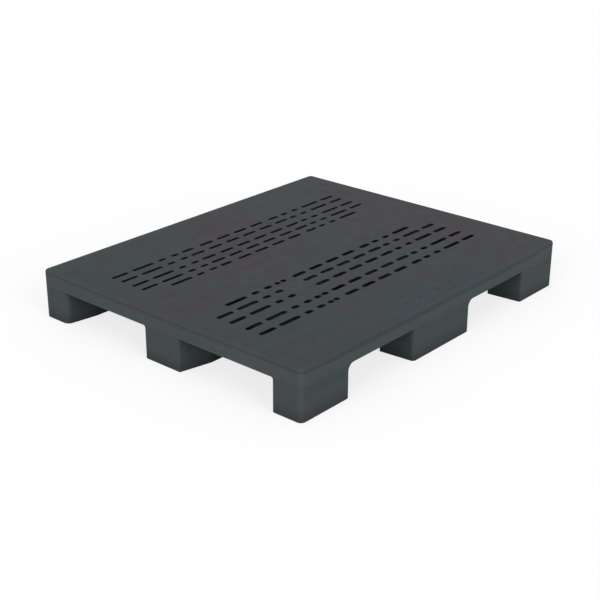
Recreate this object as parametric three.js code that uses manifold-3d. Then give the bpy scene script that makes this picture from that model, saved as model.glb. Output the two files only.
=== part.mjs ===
// Plastic pallet: a slotted deck panel over a ribbed base tray, nine hollow feet screwed on
// from below, and three square steel tubes lying between the deck and the tray.
// Millimetres, +Z up. The origin is on the floor under the middle of the pallet, the short
// sides face -Y and +Y, and the long sides face -X and +X.
import * as THREE from "three";
import { mergeVertices } from "three/addons/utils/BufferGeometryUtils.js";
import Module from "manifold-3d";

// Overall sizes
const palletWidth = 1000;
const palletLength = 1200;
const forkHeight = 100; // floor to underside of the tray
const deckThickness = 50; // underside of the tray to the top face
const cornerRadius = 16; // upright corners of deck, tray and corner feet

// Deck panel
const deckSkin = 5;
const deckEdgeRadius = 8; // round-over along the top edge
const lipWall = 6; // the rim that hangs over the tray wall
const lipDepthEnds = 12; // depth of the rim along the short sides
const lipDepthSides = 19; // depth of the rim along the long sides
const lipRampStart = 120; // the deep rim starts to rise this far from the ends
const lipRampEnd = 60;
const ribWall = 4;
const ribsPerBay = 3; // along the pallet, between neighbouring tubes

// Base tray
const trayFloor = 4;
const tongueWall = 3; // the thin top of the tray wall, inside the deck rim
const tongueGap = 2; // from its top to the deck
const panelRecess = 3; // shallow bare panel on each short side
const panelRamp = 36;
const panelEdgeLeft = 67; // from the left corner, seen from outside
const panelEdgeRight = 233;
const panelFloorMargin = 6;
const panelTopMargin = 3;
const drainDiameter = 10;

// Drain slots in the deck: four kinds, which differ in length
const slotEnd = { length: 60 };
const slotLong = { length: 80 };
const slotShort = { length: 28 };
const slotMiddle = { length: 55 };
const slotTrimmed = 10; // the outer rows lose this much of the slots that follow the short ones
const slotEdgeToFirst = 137; // deck end to the centre of the first slot
const slotPitchEndLong = 88;
const slotPitchLongShort = 77;
const slotPitchShortShort = 52;
const slotPitchShortMiddle = 58;
const slotPitchMiddle = 75;
const slotPatternShift = -22; // the whole pattern sits this far towards the front
const slotEndToRib = 12; // from the end slots to the rib past them
const slotRelief = 6; // ribs are cut away this deep under the slots, so that they drain
// Each band: deck edge to its outer row, then from row to row inwards.
const slotBandLeft = { slotWidth: 11, edgeToRow: 208, pitches: [40, 47, 39, 37] };
const slotBandRight = {
  slotWidth: 14,
  edgeToRow: 217,
  pitches: [49, 58, 47, 43],
  closedRows: [2, 3],
};
const slotBridge = 6; // solid bridge in the other slots of the column where two rows are closed

// Four shallow notches beside the right-hand edge of the deck
const notchSize = { length: 20, width: 4, depth: 1.5, angle: 1.03 };
const notchToEdge = 50;
const notchOffsets = [-104, -38, 38, 104];

// Feet
const footWall = 5;
const cornerFoot = { width: 112, length: 195 };
const middleFoot = { width: 176, length: 282 };
const leadInX = 15; // how much a side mouth widens along X at a corner foot
const leadInMiddleX = 22; // and at a middle foot
const leadInY = 10; // and how much it widens along Y
const leadInDepth = 100;
const footEdgeRadius = 4;
const footSoftRadius = 20; // the softer inner corner of two of the corner feet
const footEasedRadius = 12; // one outer corner of each foot in the middle of a long side
const footFillet = 22; // under the tray, where a foot looks along the long side
const footFilletSmall = 8; // and where it looks along the short side
const footPost = 24;
const footRibSpacing = 72;

// Steel tubes
const tubeSize = 30;
const tubeWall = 2;
const tubeCornerRadius = 3;
const tubeEndGap = 2;

// Screws
const screwDiameter = 6;
const screwHead = { diameter: 14, height: 5 };
const screwLength = 36;
const screwFromEnd = 130;
const screwFromMiddle = 40;
const bossDiameter = 14;
const bossToGuide = 6; // from a boss hole to the rib that guides the tube

// Clearances
const jointGap = 0.5; // visible seam between the deck rim and the tray wall
const restGap = 0.3; // between ribs that bear on each other
const tubeClearance = 1;
const holeClearance = 0.4;
const bossClearance = 0.6;
const headClearance = 2;
const pilotDepth = 1; // empty length of a boss hole past the screw's end

// Facets of the round shapes
const arcSteps = 3;
const slotSteps = 1;
const tubeCornerSteps = 1;
const edgeSteps = 3;
const filletSteps = 3;
const screwSides = 6;
const drainSides = 8;
const mergeDistance = 1e-4;
const cutThrough = 1; // how far a cut or a joined piece reaches past the face it meets

const palletHeight = forkHeight + deckThickness;
const halfWidth = palletWidth / 2;
const halfLength = palletLength / 2;
const trayWall = lipWall + jointGap + tongueWall;
const skinUnderside = palletHeight - deckSkin;
const floorTop = forkHeight + trayFloor;
const ribMeeting = floorTop + tubeSize; // tray ribs end level with the tube tops
const tubeLineX = halfWidth - cornerFoot.width / 2;
const tubeGuide = tubeSize / 2 + tubeClearance; // from a tube's middle to the rib beside it
const bossHole = bossDiameter + 2 * bossClearance;
const screwFromTube = tubeGuide + ribWall + bossToGuide + bossHole / 2;
const screwSeat = forkHeight - footWall;
const screwEnd = screwSeat + screwLength;

const wasm = await Module();
wasm.setup();

// A closed three.js geometry as a solid that can be joined and cut.
function solid(geometry) {
  geometry.deleteAttribute("normal");
  geometry.deleteAttribute("uv");
  const merged = mergeVertices(geometry, mergeDistance);
  const mesh = new wasm.Mesh({
    numProp: 3,
    vertProperties: new Float32Array(merged.attributes.position.array),
    triVerts: new Uint32Array(merged.index.array),
  });
  return new wasm.Manifold(mesh);
}

function namedMesh(name, body, material) {
  const { numProp, vertProperties, triVerts } = body.getMesh();
  const positions = new Float32Array((vertProperties.length / numProp) * 3);
  for (let i = 0; i < positions.length / 3; i++) {
    positions.set(vertProperties.subarray(i * numProp, i * numProp + 3), i * 3);
  }
  const geometry = new THREE.BufferGeometry();
  geometry.setAttribute("position", new THREE.BufferAttribute(positions, 3));
  geometry.setIndex(new THREE.BufferAttribute(triVerts, 1));
  geometry.computeVertexNormals();
  const mesh = new THREE.Mesh(geometry, material);
  mesh.name = name;
  return mesh;
}

function joined(bodies) {
  return bodies.reduce((whole, body) => whole.add(body));
}

function prism(shape, z0, z1, curveSegments = arcSteps) {
  const settings = { depth: z1 - z0, bevelEnabled: false, curveSegments };
  return solid(new THREE.ExtrudeGeometry(shape, settings).translate(0, 0, z0));
}

function block(x0, x1, y0, y1, z0, z1) {
  const geometry = new THREE.BoxGeometry(x1 - x0, y1 - y0, z1 - z0);
  return solid(geometry.translate((x0 + x1) / 2, (y0 + y1) / 2, (z0 + z1) / 2));
}

function post(x, y, z0, z1, diameter, sides) {
  const geometry = new THREE.CylinderGeometry(diameter / 2, diameter / 2, z1 - z0, sides);
  geometry.rotateX(Math.PI / 2);
  return solid(geometry.translate(x, y, (z0 + z1) / 2));
}

// A convex outline, counter-clockwise, from corners [x, y, radius]; every side moves in by inset.
function outline(corners, inset = 0) {
  const sides = corners.map(([x, y], i) => {
    const [nextX, nextY] = corners[(i + 1) % corners.length];
    const along = new THREE.Vector2(nextX - x, nextY - y).normalize();
    const inward = new THREE.Vector2(-along.y, along.x);
    return { along, inward, start: new THREE.Vector2(x, y).addScaledVector(inward, inset) };
  });
  const shape = new THREE.Shape();
  corners.forEach(([, , radius], i) => {
    const before = sides.at(i - 1);
    const after = sides[i];
    const turn = before.along.angleTo(after.along);
    const reach = after.start.clone().sub(before.start);
    const distance = reach.cross(after.along) / before.along.cross(after.along);
    const corner = before.start.clone().addScaledVector(before.along, distance);
    const rounding = Math.max(radius - inset, 0);
    const back = rounding * Math.tan(turn / 2);
    const entry = corner.addScaledVector(before.along, -back);
    const draw = i === 0 ? "moveTo" : "lineTo";
    shape[draw](entry.x, entry.y);
    if (rounding === 0) return;
    const centre = entry.clone().addScaledVector(before.inward, rounding);
    const from = Math.atan2(entry.y - centre.y, entry.x - centre.x);
    shape.absarc(centre.x, centre.y, rounding, from, from + turn, false);
  });
  shape.closePath();
  return shape;
}

const palletCorners = [
  [-halfWidth, -halfLength, cornerRadius],
  [halfWidth, -halfLength, cornerRadius],
  [halfWidth, halfLength, cornerRadius],
  [-halfWidth, halfLength, cornerRadius],
];

function ring(outerInset, innerInset, z0, z1) {
  const outer = prism(outline(palletCorners, outerInset), z0, z1);
  return outer.subtract(prism(outline(palletCorners, innerInset), z0 - cutThrough, z1 + cutThrough));
}

// A slot or notch with round ends, lying along Y before it is turned.
function slotShape(x, y, length, width, angle = 0) {
  const radius = width / 2;
  const run = length / 2 - radius;
  const ahead = new THREE.Vector2(-Math.sin(angle), Math.cos(angle)).multiplyScalar(run);
  const shape = new THREE.Shape();
  shape.absarc(x + ahead.x, y + ahead.y, radius, angle, angle + Math.PI, false);
  shape.absarc(x - ahead.x, y - ahead.y, radius, angle + Math.PI, angle + 2 * Math.PI, false);
  shape.closePath();
  return shape;
}

// Slot columns run across the deck; each has a centre along Y and a kind.
function slotColumns() {
  let fromMiddle = halfLength - slotEdgeToFirst;
  const half = [{ y: fromMiddle, kind: slotEnd }];
  const steps = [
    [slotPitchEndLong, slotLong],
    [slotPitchLongShort, slotShort],
    [slotPitchShortShort, slotShort],
  ];
  for (const [pitch, kind] of steps) {
    fromMiddle -= pitch;
    half.push({ y: fromMiddle, kind });
  }
  const firstMiddle = fromMiddle - slotPitchShortMiddle;
  const count = Math.max(Math.round((2 * firstMiddle) / slotPitchMiddle), 1);
  const columns = half.map(({ y, kind }) => ({ y: -y, kind }));
  for (let i = 0; i <= count; i++) {
    const y = -firstMiddle + (2 * firstMiddle * i) / count;
    columns.push({ y, kind: slotMiddle, first: i === 0, last: i === count });
  }
  half.reverse().forEach(({ y, kind }) => columns.push({ y, kind }));
  return columns.map((column) => ({ ...column, y: column.y + slotPatternShift }));
}

// Slot rows run along the deck; the outer and inner rows of a band differ from the others.
function slotRows(band, side) {
  const last = band.pitches.length;
  let fromMiddle = halfWidth - band.edgeToRow;
  return [0, ...band.pitches].map((pitch, i) => {
    fromMiddle -= pitch;
    const closed = band.closedRows?.includes(i);
    return { x: side * fromMiddle, edge: i === 0 || i === last, inner: i === last, closed };
  });
}

// Start and end along Y of each piece of slot that one row has in one column.
function slotSpans(row, column, bridged) {
  if (row.inner && column.kind === slotEnd) return [];
  let from = column.y - column.kind.length / 2;
  let to = column.y + column.kind.length / 2;
  if (row.edge && column.first) to -= slotTrimmed;
  if (row.edge && column.last) from += slotTrimmed;
  if (!bridged) return [[from, to]];
  if (row.closed) return [];
  const middle = (from + to) / 2;
  return [
    [from, middle - slotBridge / 2],
    [middle + slotBridge / 2, to],
  ];
}

function slotCuts() {
  const z = [skinUnderside - slotRelief, palletHeight + cutThrough];
  const cuts = [];
  for (const [band, side] of [[slotBandLeft, -1], [slotBandRight, 1]]) {
    for (const row of slotRows(band, side)) {
      for (const column of slotColumns()) {
        const bridged = column.first && band.closedRows !== undefined;
        for (const [from, to] of slotSpans(row, column, bridged)) {
          const shape = slotShape(row.x, (from + to) / 2, to - from, band.slotWidth);
          cuts.push(prism(shape, ...z, slotSteps));
        }
      }
    }
  }
  return cuts;
}

function notchCuts() {
  const x = halfWidth - notchToEdge;
  return notchOffsets.map((y) => {
    const shape = slotShape(x, y, notchSize.length, notchSize.width, notchSize.angle);
    return prism(shape, palletHeight - notchSize.depth, palletHeight + cutThrough, slotSteps);
  });
}

// Ribs across the pallet stand in every other gap between slot columns, and past the last ones.
function crossRibPlaces() {
  const columns = slotColumns();
  const gaps = [];
  for (let i = 0; i + 1 < columns.length; i++) {
    const end = columns[i].y + columns[i].kind.length / 2;
    const start = columns[i + 1].y - columns[i + 1].kind.length / 2;
    if (i % 2 === 0) gaps.push((end + start) / 2);
  }
  const first = columns[0].y - slotEnd.length / 2;
  const last = columns[columns.length - 1].y + slotEnd.length / 2;
  return [first - slotEndToRib, ...gaps, last + slotEndToRib];
}

// Ribs along the pallet, evenly spaced between neighbouring tubes.
function lengthRibPlaces() {
  const guide = tubeGuide + ribWall / 2;
  const pitch = (tubeLineX - 2 * guide) / (ribsPerBay + 1);
  const places = [];
  for (const side of [-1, 1]) {
    for (let i = 1; i <= ribsPerBay; i++) places.push(side * (guide + i * pitch));
  }
  return places;
}

function tubeGuidePlaces() {
  const guide = tubeGuide + ribWall / 2;
  return [-tubeLineX, 0, tubeLineX].flatMap((x) => [x - guide, x + guide]);
}

function ribGrid(alongPlaces, crossPlaces, inset, z0, z1) {
  const x1 = halfWidth - inset;
  const y1 = halfLength - inset;
  const along = alongPlaces.map((x) => block(x - ribWall / 2, x + ribWall / 2, -y1, y1, z0, z1));
  const across = crossPlaces.map((y) => block(-x1, x1, y - ribWall / 2, y + ribWall / 2, z0, z1));
  return joined([...along, ...across]);
}

// Each foot's name, and which side of the pallet it stands on: -1, 0 or 1 along X and Y.
function feetPlan() {
  const feet = [];
  const across = [["left", -1], ["middle", 0], ["right", 1]];
  const along = [["front", -1], ["middle", 0], ["back", 1]];
  for (const [row, sideY] of along) {
    for (const [column, sideX] of across) {
      const name = row === "middle" && column === "middle" ? "centre" : row + "_" + column;
      feet.push({ name, sideX, sideY });
    }
  }
  return feet;
}

// Where a foot's screws stand on the plan: in pairs, one on each side of a tube.
function screwPlaces({ sideX, sideY }) {
  const x = sideX * tubeLineX;
  const ys = sideY === 0 ? [-screwFromMiddle, screwFromMiddle] : [sideY * (halfLength - screwFromEnd)];
  return ys.flatMap((y) => [[x - screwFromTube, y], [x + screwFromTube, y]]);
}

function turned(corners, turn) {
  return turn ? corners.map(([x, y, radius]) => [-x, -y, radius]) : corners;
}

function mirrored(corners, mirror) {
  return mirror ? corners.map(([x, y, radius]) => [-x, y, radius]).reverse() : corners;
}

function cornerFootCorners({ sideX, sideY }) {
  const innerX = halfWidth - cornerFoot.width;
  const innerY = halfLength - cornerFoot.length;
  const soft = sideX === sideY ? footSoftRadius : footEdgeRadius;
  const corners = [
    [halfWidth, halfLength, cornerRadius],
    [innerX + leadInX, halfLength, soft],
    [innerX, halfLength - leadInDepth, 0],
    [innerX, innerY, footEdgeRadius],
    [halfWidth, innerY + leadInY, footEdgeRadius],
  ];
  return turned(mirrored(corners, sideX !== sideY), sideY < 0);
}

function endFootCorners({ sideY }) {
  const bodyX = middleFoot.width / 2;
  const innerY = halfLength - cornerFoot.length;
  const corners = [
    [-bodyX + leadInMiddleX, -halfLength, footEdgeRadius],
    [bodyX - leadInMiddleX, -halfLength, footEdgeRadius],
    [bodyX, -halfLength + leadInDepth, 0],
    [bodyX, -innerY, footEdgeRadius],
    [-bodyX, -innerY, footEdgeRadius],
    [-bodyX, -halfLength + leadInDepth, 0],
  ];
  return turned(corners, sideY > 0);
}

function sideFootCorners({ sideX }) {
  const bodyY = middleFoot.length / 2;
  const innerX = halfWidth - cornerFoot.width;
  const corners = [
    [halfWidth, -bodyY + leadInY, footEasedRadius],
    [halfWidth, bodyY - leadInY, footEdgeRadius],
    [innerX, bodyY, footEdgeRadius],
    [innerX, -bodyY, footEdgeRadius],
  ];
  return turned(corners, sideX < 0);
}

function centreFootCorners() {
  const x = middleFoot.width / 2;
  const y = middleFoot.length / 2;
  const corners = [[-x, -y], [x, -y], [x, y], [-x, y]];
  return corners.map((corner) => [...corner, footEdgeRadius]);
}

// Outline of a foot, counter-clockwise. The mouths of the fork ways are wider outside than inside.
function footCorners(foot) {
  if (foot.sideX && foot.sideY) return cornerFootCorners(foot);
  if (foot.sideY) return endFootCorners(foot);
  if (foot.sideX) return sideFootCorners(foot);
  return centreFootCorners();
}

// A concave fillet under the tray, along one side of a foot from start to end.
function flare(start, end, radius) {
  const along = end.clone().sub(start).normalize();
  const outward = new THREE.Vector3(along.y, -along.x, 0);
  const up = new THREE.Vector3(0, 0, 1);
  const profile = new THREE.Shape();
  profile.moveTo(-footWall / 2, 0);
  profile.lineTo(radius, 0);
  profile.absarc(radius, -radius, radius, Math.PI / 2, Math.PI, false);
  profile.lineTo(-footWall / 2, -radius);
  profile.closePath();
  const settings = { depth: start.distanceTo(end), bevelEnabled: false, curveSegments: filletSteps };
  const geometry = new THREE.ExtrudeGeometry(profile, settings);
  const turn = new THREE.Matrix4().makeBasis(outward, up, outward.clone().cross(up));
  geometry.applyMatrix4(turn.setPosition(end.x, end.y, forkHeight));
  return solid(geometry);
}

// Each foot has its fillets on one side of each pair. The left half of the pallet is the right
// half turned by half a turn, so they sit on the back of the right-hand feet, the front of the
// left-hand ones, the left of the front ones and the right of the back ones.
function flaredSides({ sideX, sideY }, corners) {
  const outermost = (x, y) => Math.abs(x) >= halfWidth || Math.abs(y) >= halfLength;
  return corners.flatMap(([x, y], i) => {
    const [nextX, nextY] = corners[(i + 1) % corners.length];
    const start = new THREE.Vector2(x, y);
    const end = new THREE.Vector2(nextX, nextY);
    if (outermost(x, y) && outermost(nextX, nextY)) return [];
    const along = end.clone().sub(start).normalize();
    const looksAlongY = Math.abs(along.x) > Math.abs(along.y);
    const radius = looksAlongY ? footFillet : footFilletSmall;
    const wanted = looksAlongY ? -along.x * sideX : along.y * sideY;
    if (wanted <= 0) return [];
    if (outermost(x, y)) start.addScaledVector(along, -radius);
    if (outermost(nextX, nextY)) end.addScaledVector(along, radius);
    return [flare(start, end, radius)];
  });
}

function footMiddle({ sideX, sideY }) {
  return { x: sideX * tubeLineX, y: sideY * (halfLength - cornerFoot.length / 2) };
}

function footRibs(foot, corners) {
  const { x, y } = footMiddle(foot);
  const reach = palletLength;
  const top = forkHeight - footWall / 2;
  const crossAt = foot.sideY === 0 ? [-footRibSpacing, 0, footRibSpacing] : [y];
  const ribs = joined([
    block(x - ribWall / 2, x + ribWall / 2, y - reach, y + reach, 0, top),
    ...crossAt.map((at) => block(x - reach, x + reach, at - ribWall / 2, at + ribWall / 2, 0, top)),
    block(x - footPost / 2, x + footPost / 2, y - footPost / 2, y + footPost / 2, 0, top),
  ]);
  const inside = prism(outline(corners, footWall / 2), 0, top);
  const headRoom = screwHead.diameter + 2 * headClearance;
  const headZ = [-cutThrough, screwSeat];
  const heads = screwPlaces(foot).map(([sx, sy]) => post(sx, sy, ...headZ, headRoom, screwSides));
  return ribs.intersect(inside).subtract(joined(heads));
}

function footSolid(foot) {
  const corners = footCorners(foot);
  const shell = prism(outline(corners), 0, forkHeight);
  const hollow = prism(outline(corners, footWall), -cutThrough, screwSeat);
  const footprint = prism(outline(palletCorners), 0, forkHeight);
  const flares = flaredSides(foot, corners).map((body) => body.intersect(footprint));
  const plate = [screwSeat - cutThrough, forkHeight + cutThrough];
  const holes = screwPlaces(foot).map(([x, y]) => screwHole(x, y, ...plate));
  const body = joined([shell.subtract(hollow), ...flares, footRibs(foot, corners)]);
  return body.subtract(joined(holes));
}

function screwHole(x, y, z0, z1) {
  return post(x, y, z0, z1, screwDiameter + 2 * holeClearance, screwSides);
}

function screwSolid(x, y) {
  const headFrom = screwSeat - screwHead.height;
  const head = post(x, y, headFrom, screwSeat, screwHead.diameter, screwSides);
  return head.add(post(x, y, headFrom + cutThrough, screwEnd, screwDiameter, screwSides));
}

// The part of the deck rim that hangs lower along one long side; grow widens it all round.
function sideRim(side, grow) {
  const rimBottom = palletHeight - lipDepthSides - grow;
  const rampTop = palletHeight - lipDepthEnds - grow;
  const rimTop = palletHeight - lipDepthEnds + cutThrough;
  const high = halfLength - lipRampEnd + grow;
  const low = halfLength - lipRampStart + grow;
  const profile = new THREE.Shape();
  profile.moveTo(-high, rimTop);
  profile.lineTo(-high, rampTop);
  profile.lineTo(-low, rimBottom);
  profile.lineTo(low, rimBottom);
  profile.lineTo(high, rampTop);
  profile.lineTo(high, rimTop);
  profile.closePath();
  const wall = lipWall + 2 * grow;
  const geometry = new THREE.ExtrudeGeometry(profile, { depth: wall, bevelEnabled: false });
  const x = new THREE.Vector3(1, 0, 0);
  const y = new THREE.Vector3(0, 1, 0);
  const z = new THREE.Vector3(0, 0, 1);
  const inner = side > 0 ? halfWidth - lipWall - grow : -halfWidth - grow;
  geometry.applyMatrix4(new THREE.Matrix4().makeBasis(y, z, x).setPosition(inner, 0, 0));
  return solid(geometry);
}

function roundedTop() {
  const settings = {
    depth: palletHeight,
    bevelEnabled: true,
    bevelThickness: deckEdgeRadius,
    bevelSize: deckEdgeRadius,
    bevelOffset: -deckEdgeRadius,
    bevelSegments: edgeSteps,
    curveSegments: arcSteps,
  };
  const geometry = new THREE.ExtrudeGeometry(outline(palletCorners), settings);
  return solid(geometry.translate(0, 0, -deckEdgeRadius));
}

// Skin with a rounded edge, a hanging rim, ribs over the tray's ribs and a boss for each screw.
function deckSolid(feet) {
  const rimBottom = palletHeight - lipDepthEnds;
  const reach = palletLength + palletWidth;
  const top = roundedTop().intersect(block(-reach, reach, -reach, reach, rimBottom, palletHeight));
  const hollow = prism(outline(palletCorners, lipWall), 0, skinUnderside);
  const rims = [-1, 1].map((side) => sideRim(side, 0));
  const ribZ = [ribMeeting + restGap, skinUnderside + cutThrough];
  const inset = trayWall + jointGap;
  const ribs = ribGrid([...lengthRibPlaces(), 0], crossRibPlaces(), inset, ...ribZ);
  const places = feet.flatMap(screwPlaces);
  const bossFoot = floorTop + restGap;
  const bosses = places.map(([x, y]) => post(x, y, bossFoot, ribZ[1], bossDiameter, screwSides));
  const pilots = places.map(([x, y]) => screwHole(x, y, forkHeight, screwEnd + pilotDepth));
  const body = joined([top.subtract(hollow), ...rims, ribs, ...bosses]);
  return body.subtract(joined([...slotCuts(), ...notchCuts(), ...pilots]));
}

// The shallow bare panel on each short side: its ends slope in, and the one at the back is turned.
function panelCut(sideY) {
  const left = -halfWidth + panelEdgeLeft;
  const right = halfWidth - panelEdgeRight;
  const shape = new THREE.Shape();
  shape.moveTo(left, -halfLength - cutThrough);
  shape.lineTo(right, -halfLength - cutThrough);
  shape.lineTo(right, -halfLength);
  shape.lineTo(right - panelRamp, -halfLength + panelRecess);
  shape.lineTo(left + panelRamp, -halfLength + panelRecess);
  shape.lineTo(left, -halfLength);
  shape.closePath();
  const top = palletHeight - lipDepthEnds - panelTopMargin;
  const cut = prism(shape, forkHeight + panelFloorMargin, top);
  return sideY > 0 ? cut.rotate([0, 0, 180]) : cut;
}

// Drain holes in the tray floor, one in each rib cell over the fork ways.
function drainCuts() {
  const along = [-tubeLineX, ...lengthRibPlaces(), tubeLineX].sort((a, b) => a - b);
  const across = crossRibPlaces();
  const nearest = middleFoot.width / 2 + drainDiameter;
  const furthest = halfWidth - cornerFoot.width - drainDiameter;
  const cuts = [];
  for (let i = 0; i + 1 < along.length; i++) {
    const x = (along[i] + along[i + 1]) / 2;
    if (Math.abs(x) < nearest || Math.abs(x) > furthest) continue;
    for (let j = 0; j + 1 < across.length; j++) {
      const y = (across[j] + across[j + 1]) / 2;
      const z = [forkHeight - cutThrough, floorTop + cutThrough];
      cuts.push(post(x, y, ...z, drainDiameter, drainSides));
    }
  }
  return cuts;
}

// The room that the deck rim takes from the outside of the tray wall, with the seam around it.
function rimRoom() {
  const seamZ = palletHeight - lipDepthEnds - jointGap;
  const ends = ring(-cutThrough, lipWall + jointGap, seamZ, palletHeight);
  return joined([ends, sideRim(-1, jointGap), sideRim(1, jointGap)]);
}

// The room inside the tray for the tubes, the deck's bosses and the screws.
function innerRoom(feet) {
  const end = halfLength - trayWall;
  const channels = [-tubeLineX, 0, tubeLineX].map((x) =>
    block(x - tubeGuide, x + tubeGuide, -end, end, floorTop, palletHeight));
  const places = feet.flatMap(screwPlaces);
  const bosses = places.map(([x, y]) => post(x, y, floorTop, palletHeight, bossHole, screwSides));
  const floorZ = [forkHeight - cutThrough, floorTop + cutThrough];
  const holes = places.map(([x, y]) => screwHole(x, y, ...floorZ));
  return joined([...channels, ...bosses, ...holes]);
}

// Floor, wall and a grid of ribs that end level with the tubes.
function traySolid(feet) {
  const floor = prism(outline(palletCorners), forkHeight, floorTop);
  const wall = ring(0, trayWall, floorTop - cutThrough, skinUnderside - tongueGap);
  const along = [...lengthRibPlaces(), ...tubeGuidePlaces()];
  const ribZ = [floorTop - cutThrough, ribMeeting];
  const ribs = ribGrid(along, crossRibPlaces(), trayWall / 2, ...ribZ);
  const cuts = [rimRoom(), innerRoom(feet), panelCut(-1), panelCut(1), ...drainCuts()];
  return joined([floor, wall, ribs]).subtract(joined(cuts));
}

function tubeSolid(x) {
  const half = tubeSize / 2;
  const corners = [[-half, -half], [half, -half], [half, half], [-half, half]];
  const section = corners.map((corner) => [...corner, tubeCornerRadius]);
  const shape = outline(section);
  shape.holes.push(outline(section, tubeWall));
  const depth = palletLength - 2 * (trayWall + tubeEndGap);
  const settings = { depth, bevelEnabled: false, curveSegments: tubeCornerSteps };
  const geometry = new THREE.ExtrudeGeometry(shape, settings);
  geometry.rotateX(Math.PI / 2);
  return solid(geometry.translate(x, depth / 2, floorTop + half));
}

const deckPlastic = new THREE.MeshStandardMaterial({ color: 0x484c4e, roughness: 0.6, metalness: 0 });
const trayPlastic = new THREE.MeshStandardMaterial({ color: 0x464a4d, roughness: 0.6, metalness: 0 });
const footPlastic = new THREE.MeshStandardMaterial({ color: 0x44494b, roughness: 0.6, metalness: 0 });
const zincSteel = new THREE.MeshStandardMaterial({ color: 0x9a9ea2, roughness: 0.4, metalness: 1 });

const pallet = new THREE.Group();
const feet = feetPlan();
pallet.add(namedMesh("deck_panel", deckSolid(feet), deckPlastic));
pallet.add(namedMesh("base_tray", traySolid(feet), trayPlastic));
for (const foot of feet) {
  pallet.add(namedMesh("foot_" + foot.name, footSolid(foot), footPlastic));
  screwPlaces(foot).forEach(([x, y], i) => {
    pallet.add(namedMesh("screw_" + foot.name + "_" + (i + 1), screwSolid(x, y), zincSteel));
  });
}
for (const [side, x] of [["left", -tubeLineX], ["middle", 0], ["right", tubeLineX]]) {
  pallet.add(namedMesh("steel_tube_" + side, tubeSolid(x), zincSteel));
}

export default pallet;
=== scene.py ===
# Plastic pallet: the looks of its mouldings, tubes and screws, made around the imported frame.
import math
from itertools import combinations

import bmesh
import bpy
from mathutils import Matrix, Vector


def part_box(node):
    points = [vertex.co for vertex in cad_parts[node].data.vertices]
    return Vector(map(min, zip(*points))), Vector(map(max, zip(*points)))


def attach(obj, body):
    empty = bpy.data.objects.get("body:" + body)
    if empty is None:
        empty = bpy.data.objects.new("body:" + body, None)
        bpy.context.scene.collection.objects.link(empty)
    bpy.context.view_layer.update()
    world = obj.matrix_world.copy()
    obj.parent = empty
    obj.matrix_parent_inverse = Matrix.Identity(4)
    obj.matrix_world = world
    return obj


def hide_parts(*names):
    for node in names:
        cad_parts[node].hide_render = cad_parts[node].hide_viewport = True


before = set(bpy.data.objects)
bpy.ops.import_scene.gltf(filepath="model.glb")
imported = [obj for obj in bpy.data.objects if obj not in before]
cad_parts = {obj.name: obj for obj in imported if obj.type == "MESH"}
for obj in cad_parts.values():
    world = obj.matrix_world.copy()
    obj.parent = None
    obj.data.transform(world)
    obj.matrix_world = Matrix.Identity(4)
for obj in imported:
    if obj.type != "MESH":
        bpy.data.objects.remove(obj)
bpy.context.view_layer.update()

# Camera: off the front right corner of the pallet, looking down on the deck through a short
# telephoto lens, so that two outer sides and both bands of slots are seen.
MM = 0.001
camera_place = Vector((2263.2, -2640.6, 1508.7)) * MM
camera_yaw = math.radians(40.932)
camera_pitch = math.radians(-23.464)
camera_roll = math.radians(0.190)

camera_data = bpy.data.cameras.new("camera")
camera_data.sensor_width = 36
camera_data.lens = 74.34
camera_data.clip_end = 200
camera = bpy.data.objects.new("camera", camera_data)
camera.matrix_world = (
    Matrix.Translation(camera_place)
    @ Matrix.Rotation(camera_yaw, 4, "Z")
    @ Matrix.Rotation(math.radians(90) + camera_pitch, 4, "X")
    @ Matrix.Rotation(camera_roll, 4, "Z")
)
bpy.context.scene.collection.objects.link(camera)
bpy.context.scene.camera = camera

# Deck panel: the upper moulding, one shot of black polyethylene regrind. It is a slotted skin
# with a rounded edge, a rim that hangs over the tray, and ribs and screw bosses below. Polished
# cores form the slots, so their walls are smooth and their edges barely rounded. The slot walls
# are coloured near black: painted shade for the shadow down in the slots.
Y_AXIS, Z_AXIS = 1, 2
SAME_PLACE = 0.01 * MM
LONGEST_ARC_STEP = 10 * MM
SMALLEST_TURN = math.radians(1)
SQUARE_ON = 0.999  # a face looks along an axis if its normal has this much of it
SHARP_EDGE = math.radians(32)
OVERLAP = 0.3 * MM
BEYOND = 1 * MM

deck_low, deck_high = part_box("deck_panel")
tray_low, tray_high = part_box("base_tray")
deck_skin = 5 * MM
rim_wall = 6 * MM
seam_at_ends = deck_high.z - 12 * MM
seam_at_sides = deck_high.z - 19 * MM
seam_soft_at_ends = 0.2 * MM
seam_soft_at_sides = 1.3 * MM
rim_ramp = (480 * MM, 540 * MM)  # where the seam drops from its level at the ends, along y
rim_ramp_steps = 8
slot_soft = 1.0 * MM
narrowest_slot = 6 * MM  # what is narrower is a notch
notch_depth = 1.5 * MM
notch_soft = 0.3 * MM
smallest_radius = 0.5 * MM


def span(outline):
    """The longest distance across an outline."""
    return max((a - b).length for a, b in combinations(outline, 2))


def level_outlines(node, axis, level, side):
    """Outlines of a CAD node's flat faces at a level, looking to that side of an axis, widest first."""
    mesh = bmesh.new()
    mesh.from_mesh(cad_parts[node].data)
    bmesh.ops.remove_doubles(mesh, verts=mesh.verts, dist=SAME_PLACE)
    mesh.normal_update()
    mesh.verts.index_update()
    flat = [
        face for face in mesh.faces
        if face.normal[axis] * side > SQUARE_ON and abs(face.verts[0].co[axis] - level) < SAME_PLACE
    ]
    inside = set(flat)
    onward = {
        loop.vert.index: loop.link_loop_next.vert.index
        for face in flat for loop in face.loops
        if loop.link_loop_radial_next.face not in inside
    }
    places = [Vector([v for k, v in enumerate(vert.co) if k != axis]) for vert in mesh.verts]
    mesh.free()
    outlines = []
    while onward:
        start, vert = onward.popitem()
        outline = [places[start]]
        while vert != start:
            outline.append(places[vert])
            vert = onward.pop(vert)
        outlines.append(outline)
    return sorted(outlines, key=span, reverse=True)


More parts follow.
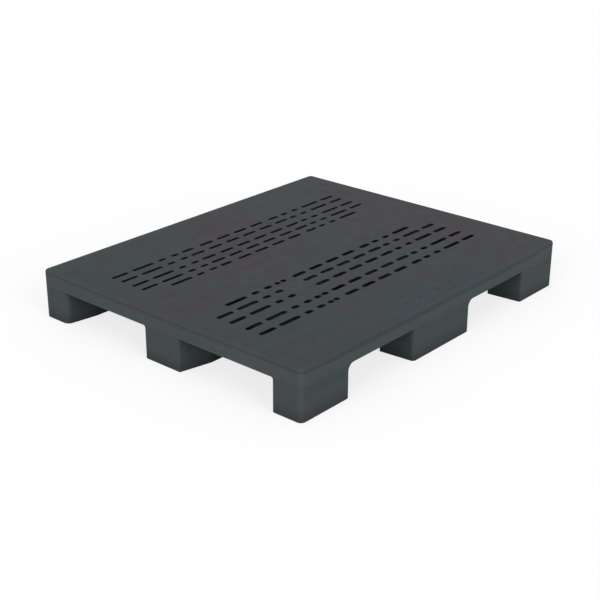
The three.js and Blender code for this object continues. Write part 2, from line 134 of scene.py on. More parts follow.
def cross(a, b):
    """Positive where b turns to the left of a."""
    return a.x * b.y - a.y * b.x


def pairs_round(items):
    """Each item with the one after it, and the last with the first."""
    items = list(items)
    return list(zip(items, items[1:] + items[:1]))


def sharp_corners(outline):
    """Corners (point, radius) of an outline whose roundings are short steps.

    They go counter-clockwise, from the one nearest the front left.
    """
    if sum(cross(a, b) for a, b in pairs_round(outline)) < 0:
        outline = outline[::-1]
    sides = [(a, b) for a, b in pairs_round(outline) if (b - a).length > LONGEST_ARC_STEP]
    corners = []
    for (a, b), (c, d) in pairs_round(sides):
        along, after = (b - a).normalized(), (d - c).normalized()
        turn = math.atan2(cross(along, after), along.dot(after))
        if turn > SMALLEST_TURN:
            ahead = cross(c - b, after) / cross(along, after)
            corners.append((b + along * ahead, ahead / math.tan(turn / 2)))
    first = corners.index(min(corners, key=lambda corner: corner[0].x + corner[0].y))
    return corners[first:] + corners[:first]


def rounded(corners, inset=0.0, outward=None, steps=10):
    """The outline with those corners, every side moved in by inset and each out by its outward."""
    outward = outward or [0.0] * len(corners)
    sides = []
    for ((here, _), (after, _)), out in zip(pairs_round(corners), outward):
        along = (after - here).normalized()
        inward = Vector((-along.y, along.x))
        sides.append((here + inward * (inset - out), along, inward))
    points = []
    for i, (_, radius) in enumerate(corners):
        start, along, inward = sides[i - 1]
        next_start, next_along, _ = sides[i]
        corner = start + along * (cross(next_start - start, next_along) / cross(along, next_along))
        rounding = max(radius - inset, smallest_radius)
        turn = math.atan2(cross(along, next_along), along.dot(next_along))
        centre = corner - along * (rounding * math.tan(turn / 2)) + inward * rounding
        for k in range(steps + 1):
            points.append(centre - Matrix.Rotation(turn * k / steps, 2) @ inward * rounding)
    return points


def arc(inset, z, radius, start_angle, end_angle, steps=6):
    """Points (inset, z) along a rounding in the section of a wall, with its angles in degrees."""
    step = math.radians(end_angle - start_angle) / steps
    angles = [math.radians(start_angle) + step * k for k in range(steps + 1)]
    return [(inset + radius * math.cos(a), z + radius * math.sin(a)) for a in angles]


ramp_stations = [
    side * (rim_ramp[0] + (rim_ramp[1] - rim_ramp[0]) * k / rim_ramp_steps)
    for side in (-1, 1) for k in range(rim_ramp_steps + 1)
]


def with_stations(points):
    """The outline with a point added wherever a side passes a station of the rim's ramps."""
    more = []
    for a, b in pairs_round(points):
        more.append(a)
        passed = [y for y in ramp_stations if min(a.y, b.y) < y < max(a.y, b.y)]
        for y in sorted(passed, reverse=b.y < a.y):
            more.append(a.lerp(b, (y - a.y) / (b.y - a.y)))
    return more


def side_share(y):
    """How far the wall has changed, at y, from its section at the ends to that at the sides."""
    share = (rim_ramp[1] - abs(y)) / (rim_ramp[1] - rim_ramp[0])
    share = min(max(share, 0.0), 1.0)
    return share * share * (3 - 2 * share)


def wall_rings(corners, at_ends, at_sides):
    """Rings round an outline, whose section changes from the short sides to the long ones."""
    rings = []
    for (end_inset, end_z), (side_inset, side_z) in zip(at_ends, at_sides):
        end_outline = with_stations(rounded(corners, end_inset))
        side_outline = with_stations(rounded(corners, side_inset))
        ring = []
        for a, b in zip(end_outline, side_outline):
            share = side_share(a.y)
            x, y = a.lerp(b, share)
            ring.append((x, y, end_z + (side_z - end_z) * share))
        rings.append(ring)
    return rings


def level_ring(outline, z):
    """The outline as a ring of points at one level."""
    return [(x, y, z) for x, y in outline]


def add_loft(mesh, rings, ends="capped"):
    """Adds a closed skin over rings of points: its ends are capped, or joined to each other."""
    verts = [[mesh.verts.new(point) for point in ring] for ring in rings]
    neighbours = pairs_round(verts) if ends == "joined" else list(zip(verts, verts[1:]))
    for lower, upper in neighbours:
        for (a, b), (c, d) in zip(pairs_round(lower), pairs_round(upper)):
            mesh.faces.new((a, b, d, c))
    if ends == "capped":
        mesh.faces.new(verts[0][::-1])
        mesh.faces.new(verts[-1])


def mesh_object(name, mesh):
    """A new object with the shape of a bmesh, its faces looking outwards."""
    bmesh.ops.recalc_face_normals(mesh, faces=mesh.faces)
    data = bpy.data.meshes.new(name)
    mesh.to_mesh(data)
    mesh.free()
    piece = bpy.data.objects.new(name, data)
    bpy.context.scene.collection.objects.link(piece)
    return piece


def lofted(name, rings, ends="capped"):
    """A new object with a closed skin over rings of points."""
    mesh = bmesh.new()
    add_loft(mesh, rings, ends)
    return mesh_object(name, mesh)


def combine(body, tool, operation, finish=0):
    """Joins a tool to the body, or cuts or keeps the body by it.

    The faces that the tool leaves get the finish: 0 for a piece's first material, 1 for its second.
    """
    for face in tool.data.polygons:
        face.material_index = finish
    step = body.modifiers.new("combine", "BOOLEAN")
    step.operation = operation
    step.solver = "MANIFOLD"
    step.object = tool
    before = body.data
    evaluated = body.evaluated_get(bpy.context.evaluated_depsgraph_get())
    body.data = bpy.data.meshes.new_from_object(evaluated)
    body.modifiers.remove(step)
    bpy.data.meshes.remove(before)
    bpy.data.objects.remove(tool)


def inner_part(node, corners, inset, low, high):
    """The ribs, bosses and posts of a CAD node: what it has inside an outline and two levels."""
    mesh = bmesh.new()
    mesh.from_mesh(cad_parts[node].data)
    bmesh.ops.remove_doubles(mesh, verts=mesh.verts, dist=SAME_PLACE / 10)
    part = mesh_object("inner_part", mesh)
    outline = rounded(corners, inset)
    room = lofted("room", [level_ring(outline, low), level_ring(outline, high)])
    combine(part, room, "INTERSECT")
    return part


def slot_size(outline):
    """Centre, direction, length and width of a slot with round ends."""
    tip, other = max(combinations(outline, 2), key=lambda ends: (ends[0] - ends[1]).length)
    centre = (tip + other) / 2
    along = (tip - other).normalized()
    width = 2 * max(abs(cross(point - centre, along)) for point in outline)
    return centre, along, (tip - other).length, width


def slot_rings(slot, section, steps=9):
    """Rings of a cut with round ends: the section gives how much wider it is, and its levels."""
    centre, along, length, width = slot
    rings = []
    for wider, z in section:
        outline = []
        for end in (along, -along):
            middle = centre + end * (length - width) / 2
            for k in range(steps + 1):
                turn = Matrix.Rotation(math.radians(180 * k / steps - 90), 2)
                outline.append(middle + turn @ end * (width / 2 + wider))
        rings.append(level_ring(outline, z))
    return rings


def smooth_shading(piece):
    """Roundings are shaded smooth and flat faces flat."""
    piece.data.shade_smooth()
    piece.data.set_sharp_from_angle(angle=SHARP_EDGE)
    weighting = piece.modifiers.new("flat faces lead", "WEIGHTED_NORMAL")
    weighting.keep_sharp = True


pallet_corners = sharp_corners(level_outlines("base_tray", Z_AXIS, tray_low.z, -1)[0])
deck_outline, *deck_openings = level_outlines("deck_panel", Z_AXIS, deck_high.z, 1)
deck_edge = deck_high.x - max(point.x for point in deck_outline)
deck_underside = deck_high.z - deck_skin


def deck_section(seam, soft):
    """From the top face round the edge, down to the seam, and up inside the rim."""
    return (
        arc(deck_edge, deck_high.z - deck_edge, deck_edge, 90, 180, steps=12)
        + arc(soft, seam + soft, soft, 180, 270)
        + [(rim_wall, seam), (rim_wall, deck_underside - OVERLAP / 2)]
    )


deck = lofted("deck_moulding", wall_rings(
    pallet_corners,
    deck_section(seam_at_ends, seam_soft_at_ends),
    deck_section(seam_at_sides, seam_soft_at_sides),
))
deck_ribs = inner_part(
    "deck_panel", pallet_corners, rim_wall + OVERLAP, deck_low.z - BEYOND, deck_underside + OVERLAP
)
combine(deck, deck_ribs, "UNION")

slot_section = (
    [(0.0, deck_underside - BEYOND)]
    + arc(slot_soft, deck_high.z - slot_soft, slot_soft, 180, 90, steps=4)
    + [(slot_soft, deck_high.z + BEYOND)]
)
notch_section = (
    arc(-notch_soft, deck_high.z - notch_depth + notch_soft, notch_soft, -90, 0, steps=3)
    + arc(notch_soft, deck_high.z - notch_soft, notch_soft, 180, 90, steps=3)
    + [(notch_soft, deck_high.z + BEYOND)]
)
slot_cuts = bmesh.new()
notch_cuts = bmesh.new()
for opening in deck_openings:
    slot = slot_size(opening)
    *_, width = slot
    if width > narrowest_slot:
        add_loft(slot_cuts, slot_rings(slot, slot_section))
    else:
        add_loft(notch_cuts, slot_rings(slot, notch_section))
# the slot walls get the second material, a near black that is painted shade
combine(deck, mesh_object("slot_cuts", slot_cuts), "DIFFERENCE", finish=1)
combine(deck, mesh_object("notch_cuts", notch_cuts), "DIFFERENCE")
smooth_shading(deck)


def hex_colour(text):
    """An sRGB hex value as linear red, green, blue and alpha."""
    values = [int(text[i:i + 2], 16) / 255 for i in (1, 3, 5)]
    return [v / 12.92 if v <= 0.04045 else ((v + 0.055) / 1.055) ** 2.4 for v in values] + [1.0]


def named_socket(sockets, name):
    """The socket with that identifier, which tells apart two sockets with one label."""
    return next(socket for socket in sockets if socket.identifier == name)


def add_node(material, kind, output, inputs, **settings):
    """Adds a node with its settings, sets or links its inputs, and returns one of its outputs.

    The material may also be the world.
    """
    tree = material.node_tree
    node = tree.nodes.new(kind)
    for name, value in settings.items():
        setattr(node, name, value)
    for name, value in inputs.items():
        socket = named_socket(node.inputs, name)
        if isinstance(value, bpy.types.NodeSocket):
            tree.links.new(value, socket)
        else:
            socket.default_value = value
    return named_socket(node.outputs, output)


def new_material(name, **values):
    """A material whose shader has these values, which are the same all over the surface."""
    material = bpy.data.materials.new(name)
    material.use_nodes = True
    for key, value in values.items():
        material.node_tree.nodes["Principled BSDF"].inputs[key.replace("_", " ")].default_value = value
    return material


def link_shader(material, **sockets):
    """Links sockets to the inputs of the material's shader, for what changes over the surface."""
    shader = material.node_tree.nodes["Principled BSDF"]
    for name, socket in sockets.items():
        material.node_tree.links.new(socket, shader.inputs[name.replace("_", " ")])


NOISE_RANGE = {"From Min": 0.3, "From Max": 0.7}  # most of a noise texture's values lie here


def regrind_polyethylene(name, batch_number, cool, plain, warm):
    """Regrind black polyethylene, moulded against a spark-eroded steel mould.

    Regrind never mixes evenly, so its grey drifts between cool and warm in clouds as wide as a
    palm, more of one or the other from one half metre to the next, with faint flow lines along
    the pallet. The batch number decides which places lean cool and which warm. The mould leaves
    a fine matte grain. The colour grows darker towards the floor: painted shade for the shadow there.
    """
    cloud_size = 45 * MM
    batch_size = 420 * MM
    flow_length = 420 * MM
    flow_width = 26 * MM
    grain_size = 2.4 * MM  # really 0.3 mm; drawn as coarse as it needs to show
    grain_depth = 0.10 * MM
    wave_length = 60 * MM
    wave_depth = 0.25 * MM
    painted_shade_height = 46 * MM

    material = new_material(name, IOR=1.5, Specular_IOR_Level=0.1)
    place = add_node(material, "ShaderNodeTexCoord", "Object", {})
    clouds = add_node(material, "ShaderNodeTexNoise", "Fac", {
        "Vector": place, "Scale": 1 / cloud_size, "Detail": 5.0, "Roughness": 0.68})
    batch = add_node(material, "ShaderNodeTexNoise", "Fac", {
        "Vector": place, "W": batch_number, "Scale": 1 / batch_size, "Detail": 1.0,
    }, noise_dimensions="4D")
    batch_lean = add_node(material, "ShaderNodeMapRange", "Result", {
        "Value": batch, **NOISE_RANGE, "To Min": -0.10, "To Max": 0.10})
    mixed = add_node(material, "ShaderNodeMath", "Value", {
        "Value": clouds, "Value_001": batch_lean}, operation="ADD")
    drift = add_node(material, "ShaderNodeValToRGB", "Color", {"Fac": mixed})
    ramp = drift.node.color_ramp
    ramp.elements[0].position, ramp.elements[0].color = 0.38, hex_colour(cool)
    ramp.elements[1].position, ramp.elements[1].color = 0.64, hex_colour(warm)
    ramp.elements.new(0.51).color = hex_colour(plain)

    stretched = add_node(material, "ShaderNodeMapping", "Vector", {
        "Vector": place, "Scale": (1 / flow_width, 1 / flow_length, 1 / flow_width)})
    flow = add_node(material, "ShaderNodeTexNoise", "Fac", {
        "Vector": stretched, "Scale": 1.0, "Detail": 3.0, "Roughness": 0.6})
    flow_tone = add_node(material, "ShaderNodeMapRange", "Result", {
        "Value": flow, **NOISE_RANGE, "To Min": 0.96, "To Max": 1.04})
    grain = add_node(material, "ShaderNodeTexNoise", "Fac", {
        "Vector": place, "Scale": 1 / grain_size, "Detail": 2.0, "Roughness": 0.7})
    grain_tone = add_node(material, "ShaderNodeMapRange", "Result", {
        "Value": grain, **NOISE_RANGE, "To Min": 0.93, "To Max": 1.07})
    # painted shade: the colour darkens towards the floor, standing in for the shadow close to it
    height = add_node(material, "ShaderNodeSeparateXYZ", "Z", {"Vector": place})
    painted_shade_tone = add_node(material, "ShaderNodeMapRange", "Result", {
        "Value": height, "From Min": 0.0, "From Max": painted_shade_height, "To Min": 0.66, "To Max": 1.0},
        interpolation_type="SMOOTHSTEP")
    tone = add_node(material, "ShaderNodeMath", "Value", {
        "Value": flow_tone, "Value_001": grain_tone}, operation="MULTIPLY")
    tone = add_node(material, "ShaderNodeMath", "Value", {
        "Value": tone, "Value_001": painted_shade_tone}, operation="MULTIPLY")
    colour = add_node(material, "ShaderNodeVectorMath", "Vector", {
        "Vector": drift, "Scale": tone}, operation="SCALE")

    roughness = add_node(material, "ShaderNodeMapRange", "Result", {
        "Value": clouds, **NOISE_RANGE, "To Min": 0.66, "To Max": 0.78})
    waves = add_node(material, "ShaderNodeTexNoise", "Fac", {
        "Vector": place, "Scale": 1 / wave_length, "Detail": 1.0})
    wavy = add_node(material, "ShaderNodeBump", "Normal", {
        "Strength": 0.5, "Distance": wave_depth, "Height": waves})
    grainy = add_node(material, "ShaderNodeBump", "Normal", {
        "Strength": 0.5, "Distance": grain_depth, "Height": grain, "Normal": wavy})
    link_shader(material, Base_Color=colour, Roughness=roughness, Normal=grainy)
    return material


def painted_shade_slot_walls():
    """Slot walls: near black as painted shade for the shadow in the slots, with faint draw lines."""
    line_width = 3 * MM
    line_length = 30 * MM
    line_depth = 0.05 * MM
    material = new_material("painted_shade_slot_walls", IOR=1.5, Specular_IOR_Level=0.1)
    place = add_node(material, "ShaderNodeTexCoord", "Object", {})
    stretched = add_node(material, "ShaderNodeMapping", "Vector", {
        "Vector": place, "Scale": (1 / line_width, 1 / line_width, 1 / line_length)})
    lines = add_node(material, "ShaderNodeTexNoise", "Fac", {
        "Vector": stretched, "Scale": 1.0, "Detail": 2.0})
    drift = add_node(material, "ShaderNodeValToRGB", "Color", {"Fac": lines})
    ramp = drift.node.color_ramp
    # near-black tones: painted shade for the shadow in the slots, not the plastic's own colour
    ramp.elements[0].position, ramp.elements[0].color = 0.35, hex_colour("#0A0B12")
    ramp.elements[1].position, ramp.elements[1].color = 0.70, hex_colour("#15161F")
    roughness = add_node(material, "ShaderNodeMapRange", "Result", {
        "Value": lines, **NOISE_RANGE, "To Min": 0.40, "To Max": 0.55})
    bumps = add_node(material, "ShaderNodeBump", "Normal", {
        "Strength": 0.4, "Distance": line_depth, "Height": lines})
    link_shader(material, Base_Color=drift, Roughness=roughness, Normal=bumps)
    return material


def finished(piece, slot, body, nodes, *materials):
    """Gives a piece its materials and body, and hides the CAD nodes that it stands for.

    Each face keeps its finish, which emptying the list of materials would set to the first.
    The slot is not used.
    """
    finishes = [face.material_index for face in piece.data.polygons]
    piece.data.materials.clear()
    for material in materials:
        piece.data.materials.append(material)
    piece.data.polygons.foreach_set("material_index", finishes)
    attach(piece, body)
    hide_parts(*nodes)


deck_plastic = regrind_polyethylene("regrind_polyethylene_deck", 2.9, "#394144", "#3D4043", "#423C41")
slot_walls = painted_shade_slot_walls()
finished(deck, "deck_plastic", "root", ["deck_panel"], deck_plastic, slot_walls)

# Base tray: the lower moulding, of the same regrind: a floor over the fork ways, an outer wall
# whose thin top stands inside the deck rim, and a rib grid with channels for the steel tubes.
# It is screwed to the deck from below. Each short side has a shallow panel, which is bare.
tongue_gap = 0.5 * MM
tongue_wall = 3 * MM
tongue_inset = rim_wall + tongue_gap
tray_wall = tongue_inset + tongue_wall
tray_floor = 4 * MM
seam_gap = 0.5 * MM
tray_base_soft = 0.2 * MM
drain_soft = 0.6 * MM
screw_hole_widest = 8 * MM  # what is wider is a drain
panel_recess = 3 * MM
panel_mouth_radius = 5 * MM
panel_floor_radius = 3 * MM
panel_draft = 1 * MM
panel_soft = 0.8 * MM
pin_mark_diameter = 3 * MM
pin_mark_depth = 0.8 * MM
pin_mark_pitch = 20 * MM
pin_mark_count = 3
pin_mark_first = Vector((-402, 108)) * MM  # its y and z


def tray_section(seam, soft):
    """From the underside round its edge, up to the seam, over the tongue, and down inside."""
    shoulder = seam - seam_gap
    return (
        arc(tray_base_soft, tray_low.z + tray_base_soft, tray_base_soft, 270, 180, steps=2)
        + arc(soft, shoulder - soft, soft, 180, 90)
        + [(tongue_inset, shoulder), (tongue_inset, tray_high.z)]
        + [(tray_wall + OVERLAP / 2, tray_high.z)]
        + [(tray_wall + OVERLAP / 2, tray_low.z + tray_floor - OVERLAP / 2)]
    )


def round_rings(centre, radius, section, steps=24):
    """Rings of an upright round cut: the section gives how much wider it is, and its levels."""
    turns = [Matrix.Rotation(2 * math.pi * k / steps, 2) for k in range(steps)]
    rings = []
    for wider, z in section:
        reach = Vector((radius + wider, 0))
        rings.append(level_ring([centre + turn @ reach for turn in turns], z))
    return rings


def outline_middle(outline):
    """The mean of an outline's points."""
    return sum(outline, Vector((0, 0))) / len(outline)


tray = lofted("tray_moulding", wall_rings(
    pallet_corners,
    tray_section(seam_at_ends, seam_soft_at_ends),
    tray_section(seam_at_sides, seam_soft_at_sides),
))
tray_ribs = inner_part(
    "base_tray", pallet_corners, tray_wall - OVERLAP / 3,
    tray_low.z + tray_floor - OVERLAP, tray_high.z + BEYOND,
)
combine(tray, tray_ribs, "UNION")

tray_holes = bmesh.new()
for opening in level_outlines("base_tray", Z_AXIS, tray_low.z, -1)[1:]:
    soft = drain_soft if span(opening) > screw_hole_widest else tray_base_soft
    section = (
        [(soft, tray_low.z - BEYOND)]
        + arc(soft, tray_low.z + soft, soft, 270, 180, steps=3)
        + [(0.0, tray_low.z + tray_floor + BEYOND)]
    )
    add_loft(tray_holes, round_rings(outline_middle(opening), span(opening) / 2, section))
combine(tray, mesh_object("tray_holes", tray_holes), "DIFFERENCE")


def panel_rings(side):
    """Rings of the cut for one short side's bare panel: its ends slope in and its edges are soft."""
    face = tray_high.y if side > 0 else tray_low.y
    mouth = level_outlines("base_tray", Y_AXIS, face, side)[-1]
    bottom = level_outlines("base_tray", Y_AXIS, face - side * panel_recess, side)[0]
    mouth = [(point, panel_mouth_radius) for point, _ in sharp_corners(mouth)]
    bottom = [(point, panel_floor_radius) for point, _ in sharp_corners(bottom)]
    edge = [(panel_soft, -BEYOND)] + arc(panel_soft, panel_soft, panel_soft, 270, 180, steps=4)
    rings = [(rounded(mouth, -wider), depth) for wider, depth in edge]
    rings.append((rounded(bottom, panel_draft - panel_soft), panel_recess - panel_soft))
    rings.append((rounded(bottom, panel_draft), panel_recess))
    return [[(x, face - side * depth, z) for x, z in outline] for outline, depth in rings]


panel_cuts = bmesh.new()
for side in (-1, 1):
    add_loft(panel_cuts, panel_rings(side))
combine(tray, mesh_object("panel_cuts", panel_cuts), "DIFFERENCE")

pin_marks = bmesh.new()
for k in range(pin_mark_count):
    middle = pin_mark_first + Vector((pin_mark_pitch * k, 0))
    section = [(0.0, tray_high.x - pin_mark_depth), (0.0, tray_high.x + BEYOND)]
    rings = round_rings(middle, pin_mark_diameter / 2, section)
    add_loft(pin_marks, [[(x, y, z) for y, z, x in ring] for ring in rings])
combine(tray, mesh_object("pin_marks", pin_marks), "DIFFERENCE")
smooth_shading(tray)

# the tray's greys stand a few steps lighter than the deck's: painted light that lifts its seen outer walls
# to the deck's brightness
tray_plastic = regrind_polyethylene("regrind_polyethylene_tray_painted_light", 3.0, "#404849", "#44484B", "#46484A")
finished(tray, "tray_plastic", "root", ["base_tray"], tray_plastic)

# Feet: nine hollow blocks of the same regrind, open below, each with a rib cross and a post
# inside, and screwed under the tray one by one, so that a broken one can be changed. Fillets
# run into the tray on the sides that a fork is most likely to strike.
foot_wall = 5 * MM
foot_plate = 5 * MM
foot_base_soft = 2.5 * MM
smallest_fillet = 6 * MM
fillet_steps = 12


def fillet_reaches(corners, top_outline):
    """How far a foot's fillets reach out from each of its sides, just under the tray."""
    reaches = []
    for (here, _), (after, _) in pairs_round(corners):
        along = (after - here).normalized()
        outward = Vector((along.y, -along.x))
        reach = max((point - here).dot(outward) for point in top_outline)
        reaches.append(reach if reach > smallest_fillet else 0.0)
    return reaches


def fillet_at(reach, depth):
    """How far a concave fillet still reaches out at a depth under the tray."""
    left = max(reach - depth, 0.0)
    return reach - math.sqrt(reach * reach - left * left)


def foot_moulding(node, name):
    low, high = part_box(node)
    corners = sharp_corners(level_outlines(node, Z_AXIS, low.z, -1)[0])
    top_outline, *holes = level_outlines(node, Z_AXIS, high.z, 1)
    reaches = fillet_reaches(corners, top_outline)
    turns = [math.radians(90 * k / fillet_steps) for k in range(fillet_steps + 1)]
    depths = sorted({0.0} | {reach * (1 - math.cos(turn)) for reach in set(reaches) for turn in turns})
    seat = high.z - foot_plate
    rings = []
    for depth in depths:
        outward = [fillet_at(reach, depth) for reach in reaches]
        rings.append(level_ring(rounded(corners, 0.0, outward), high.z - depth))
    section = arc(foot_base_soft, low.z + foot_base_soft, foot_base_soft, 180, 270)
    section += [(foot_wall + OVERLAP, low.z), (foot_wall + OVERLAP, seat + OVERLAP / 2)]
    rings += [level_ring(rounded(corners, inset), z) for inset, z in section]
    foot = lofted(name, rings)
    ribs = inner_part(node, corners, foot_wall + OVERLAP / 2, low.z - BEYOND, seat + OVERLAP)
    combine(foot, ribs, "UNION")
    screw_holes = bmesh.new()
    for hole in holes:
        section = [(0.0, seat - BEYOND), (0.0, high.z + BEYOND)]
        add_loft(screw_holes, round_rings(outline_middle(hole), span(hole) / 2, section))
    combine(foot, mesh_object("screw_holes", screw_holes), "DIFFERENCE")
    smooth_shading(foot)
    return foot


foot_plastic = regrind_polyethylene("regrind_polyethylene_foot", 3.0, "#3B4445", "#3F4446", "#414344")
for node in sorted(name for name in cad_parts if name.startswith("foot_")):
    foot = foot_moulding(node, node.replace("foot_", "foot_moulding_"))
    finished(foot, "foot_plastic", "root", [node], foot_plastic)

# Steel tubes: three square tubes, cold rolled and hot-dip galvanised, which lie on the tray
# floor between its ribs over each row of feet and stop the pallet from sagging in a rack.
tube_wall = 2 * MM
tube_corner_radius = 3 * MM


def galvanised_steel():
    """Hot-dip galvanised steel: pale grey zinc in spangles, each turned its own way."""
    spangle_size = 9 * MM
    spangle_depth = 0.05 * MM
    material = new_material("galvanised_steel", Metallic=1.0)
    place = add_node(material, "ShaderNodeTexCoord", "Object", {})
    spangle = add_node(material, "ShaderNodeTexVoronoi", "Color", {
        "Vector": place, "Scale": 1 / spangle_size})
    turned = add_node(material, "ShaderNodeSeparateColor", "Red", {"Color": spangle})
    drift = add_node(material, "ShaderNodeValToRGB", "Color", {"Fac": turned})
    ramp = drift.node.color_ramp
    ramp.elements[0].color = hex_colour("#8E9396")
    ramp.elements[1].color = hex_colour("#B4B8BA")
    roughness = add_node(material, "ShaderNodeMapRange", "Result", {
        "Value": turned, "To Min": 0.34, "To Max": 0.52})
    bumps = add_node(material, "ShaderNodeBump", "Normal", {
        "Strength": 0.2, "Distance": spangle_depth, "Height": turned})
    link_shader(material, Base_Color=drift, Roughness=roughness, Normal=bumps)
    return material


galvanised = galvanised_steel()
for node in sorted(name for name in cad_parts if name.startswith("steel_tube_")):
    low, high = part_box(node)
    section = [
        (Vector(corner), tube_corner_radius)
        for corner in ((low.x, low.z), (high.x, low.z), (high.x, high.z), (low.x, high.z))
    ]
    rings = [
        [(x, y, z) for x, z in rounded(section, inset, steps=6)]
        for inset, y in ((0.0, low.y), (0.0, high.y), (tube_wall, high.y), (tube_wall, low.y))
    ]
    tube = lofted(node.replace("steel_tube_", "galvanised_tube_"), rings, ends="joined")
    smooth_shading(tube)
    finished(tube, "tube_steel", "root", [node], galvanised)

# Screws: 24 flanged hexagon screws for plastics, cold headed, with a coarse rolled thread, zinc
# plated. Two or four go up through each foot and the tray floor into bosses of the deck.
screw_flats = 10 * MM
screw_chamfer = 0.7 * MM
screw_end_share = 0.9  # of the distance across the flats
screw_flange = 1.2 * MM
flange_edge = ((0.97, 1.0), (1.0, 0.8), (1.0, 0.2), (0.97, 0.0))  # shares of radius, thickness
screw_neck = 1.3 * screw_flange
shank_radius = 3 * MM
thread_pitch = 2.5 * MM
thread_depth = 0.6 * MM
screw_core = shank_radius - thread_depth
thread_profile = ((0.15, screw_core), (0.45, shank_radius), (0.55, shank_radius), (0.85, screw_core))
screw_tip = 4 * MM
screw_tip_share = 0.25  # of the core's radius
screw_sides = 36


def turned_ring(radius, z, flats=0.0):
    """A round ring, or a hexagonal one with that distance across its flats."""
    points = []
    for k in range(screw_sides):
        turn = 2 * math.pi * k / screw_sides
        from_flat = (turn + math.radians(30)) % math.radians(60) - math.radians(30)
        reach = min(radius, flats / 2 / math.cos(from_flat)) if flats else radius
        points.append((reach * math.cos(turn), reach * math.sin(turn), z))
    return points


def screw_rings(length_below, length_above, flange_radius):
    """A screw whose flange bears at z = 0: its head hangs below and its thread stands above."""
    hexagon = screw_flats / 2 / math.cos(math.radians(30))
    rings = [
        turned_ring(screw_flats / 2 * screw_end_share, -length_below),
        turned_ring(screw_flats / 2, -length_below + screw_chamfer / 4, screw_flats),
        turned_ring(hexagon, -length_below + screw_chamfer, screw_flats),
        turned_ring(hexagon, -screw_neck, screw_flats),
    ]
    rings += [turned_ring(flange_radius * wide, -screw_flange * deep) for wide, deep in flange_edge]
    rings.append(turned_ring(screw_core, 0.0))
    threaded = length_above - screw_tip
    turns = int(threaded / thread_pitch)
    for k in range(turns):
        start = threaded - (turns - k) * thread_pitch
        rings += [turned_ring(radius, start + share * thread_pitch) for share, radius in thread_profile]
    rings.append(turned_ring(screw_core, threaded))
    rings.append(turned_ring(screw_core * screw_tip_share, length_above))
    return rings


def zinc_plated_steel():
    """Steel with bright zinc plating, passivated blue: silvery, a little cloudy and bluish."""
    cloud_size = 4 * MM
    cloud_depth = 0.03 * MM
    material = new_material("zinc_plated_steel", Metallic=1.0)
    place = add_node(material, "ShaderNodeTexCoord", "Object", {})
    clouds = add_node(material, "ShaderNodeTexNoise", "Fac", {
        "Vector": place, "Scale": 1 / cloud_size, "Detail": 3.0})
    drift = add_node(material, "ShaderNodeValToRGB", "Color", {"Fac": clouds})
    ramp = drift.node.color_ramp
    ramp.elements[0].position, ramp.elements[0].color = 0.35, hex_colour("#A3A9B2")
    ramp.elements[1].position, ramp.elements[1].color = 0.65, hex_colour("#C4C6C4")
    roughness = add_node(material, "ShaderNodeMapRange", "Result", {
        "Value": clouds, **NOISE_RANGE, "To Min": 0.26, "To Max": 0.42})
    bumps = add_node(material, "ShaderNodeBump", "Normal", {
        "Strength": 0.2, "Distance": cloud_depth, "Height": clouds})
    link_shader(material, Base_Color=drift, Roughness=roughness, Normal=bumps)
    return material


zinc_plated = zinc_plated_steel()
_, centre_foot_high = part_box("foot_centre")
screw_bearing = centre_foot_high.z - foot_plate
screw_data = None
for node in sorted(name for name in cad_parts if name.startswith("screw_")):
    low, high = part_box(node)
    name = node.replace("screw_", "flange_screw_")
    if screw_data is None:
        flange_radius = (high.x - low.x) / 2
        screw = lofted(name, screw_rings(screw_bearing - low.z, high.z - screw_bearing, flange_radius))
        screw_data = screw.data
    else:
        screw = bpy.data.objects.new(name, screw_data)
        bpy.context.scene.collection.objects.link(screw)
    screw.location = ((low.x + high.x) / 2, (low.y + high.y) / 2, screw_bearing)
    smooth_shading(screw)
    finished(screw, "screw_steel", "root", [node], zinc_plated)

# Studio: a pale matte floor under even light from the whole sky, and two wide soft lamps, one
# for each of the sides that are seen, so that the sides are as bright as the deck.
floor_radius = 40.0
floor_steps = 96
sky_strength = 0.58
lamp_strength = 1.77
lamp_spread = math.radians(40)
lamp_height = math.radians(22)
lamp_turns = (math.radians(5), math.radians(80))

floor_turns = [2 * math.pi * k / floor_steps for k in range(floor_steps)]
floor_mesh = bmesh.new()
floor_mesh.faces.new([
    floor_mesh.verts.new((floor_radius * math.cos(turn), floor_radius * math.sin(turn), 0.0))
    for turn in floor_turns
])
floor = mesh_object("floor", floor_mesh)


def seen_share(material):
    """1 for what the camera sees, itself or in a mirror or through glass, and 0 for other light."""
    rays = add_node(material, "ShaderNodeLightPath", "Is Camera Ray", {})
    seen = add_node(material, "ShaderNodeMath", "Value", {
        "Value": rays, "Value_001": named_socket(rays.node.outputs, "Is Glossy Ray")}, operation="MAXIMUM")
    return add_node(material, "ShaderNodeMath", "Value", {
        "Value": seen, "Value_001": named_socket(rays.node.outputs, "Is Transmission Ray"),
    }, operation="MAXIMUM")


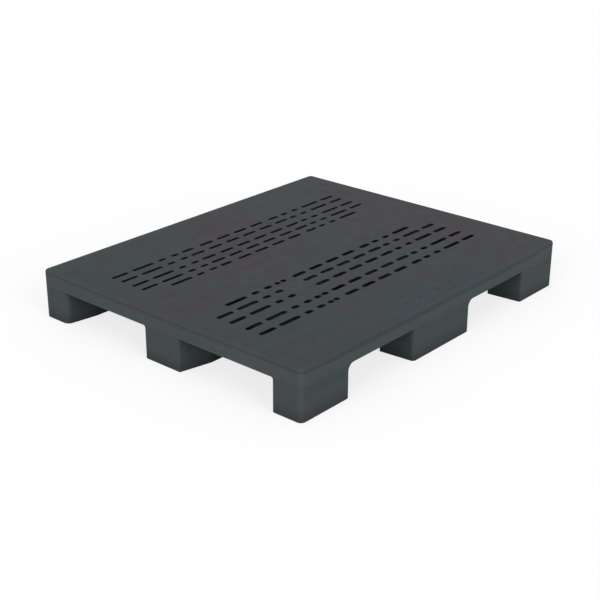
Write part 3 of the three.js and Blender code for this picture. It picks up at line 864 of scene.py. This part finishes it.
def matte_floor():
    """Matte painted floor: white where it is seen, with a faint shadow, and clear from below."""
    shadow_share = 0.25
    material = bpy.data.materials.new("matte_floor")
    material.use_nodes = True
    tree = material.node_tree
    tree.nodes.clear()
    seen = seen_share(material)
    shadowed = add_node(material, "ShaderNodeBsdfDiffuse", "BSDF", {"Color": [shadow_share] * 3 + [1.0]})
    glow = add_node(material, "ShaderNodeEmission", "Emission", {
        "Color": [1.0] * 4, "Strength": 1 - shadow_share})
    white = add_node(material, "ShaderNodeAddShader", "Shader", {
        "Shader": shadowed, "Shader_001": glow})
    grey = add_node(material, "ShaderNodeBsdfDiffuse", "BSDF", {"Color": hex_colour("#7C7C7C")})
    surface = add_node(material, "ShaderNodeMixShader", "Shader", {
        "Fac": seen, "Shader": grey, "Shader_001": white})
    from_below = add_node(material, "ShaderNodeNewGeometry", "Backfacing", {})
    clear = add_node(material, "ShaderNodeBsdfTransparent", "BSDF", {})
    surface = add_node(material, "ShaderNodeMixShader", "Shader", {
        "Fac": from_below, "Shader": surface, "Shader_001": clear})
    output = tree.nodes.new("ShaderNodeOutputMaterial")
    tree.links.new(surface, output.inputs["Surface"])
    return material


floor.data.materials.append(matte_floor())

world = bpy.data.worlds.new("studio")
world.use_nodes = True
world.node_tree.nodes.clear()
strength = add_node(world, "ShaderNodeMapRange", "Result", {
    "Value": seen_share(world), "To Min": sky_strength, "To Max": 1.0})
sky = add_node(world, "ShaderNodeBackground", "Background", {"Color": [1.0] * 4, "Strength": strength})
world_output = world.node_tree.nodes.new("ShaderNodeOutputWorld")
world.node_tree.links.new(sky, world_output.inputs["Surface"])
bpy.context.scene.world = world

for k, turn in enumerate(lamp_turns):
    lamp_data = bpy.data.lights.new(f"soft_lamp_{k + 1}", "SUN")
    lamp_data.energy = lamp_strength
    lamp_data.angle = lamp_spread
    lamp = bpy.data.objects.new(lamp_data.name, lamp_data)
    lamp.rotation_euler = (math.radians(90) - lamp_height, 0.0, turn)
    bpy.context.scene.collection.objects.link(lamp)

bpy.context.scene.view_settings.view_transform = "Standard"
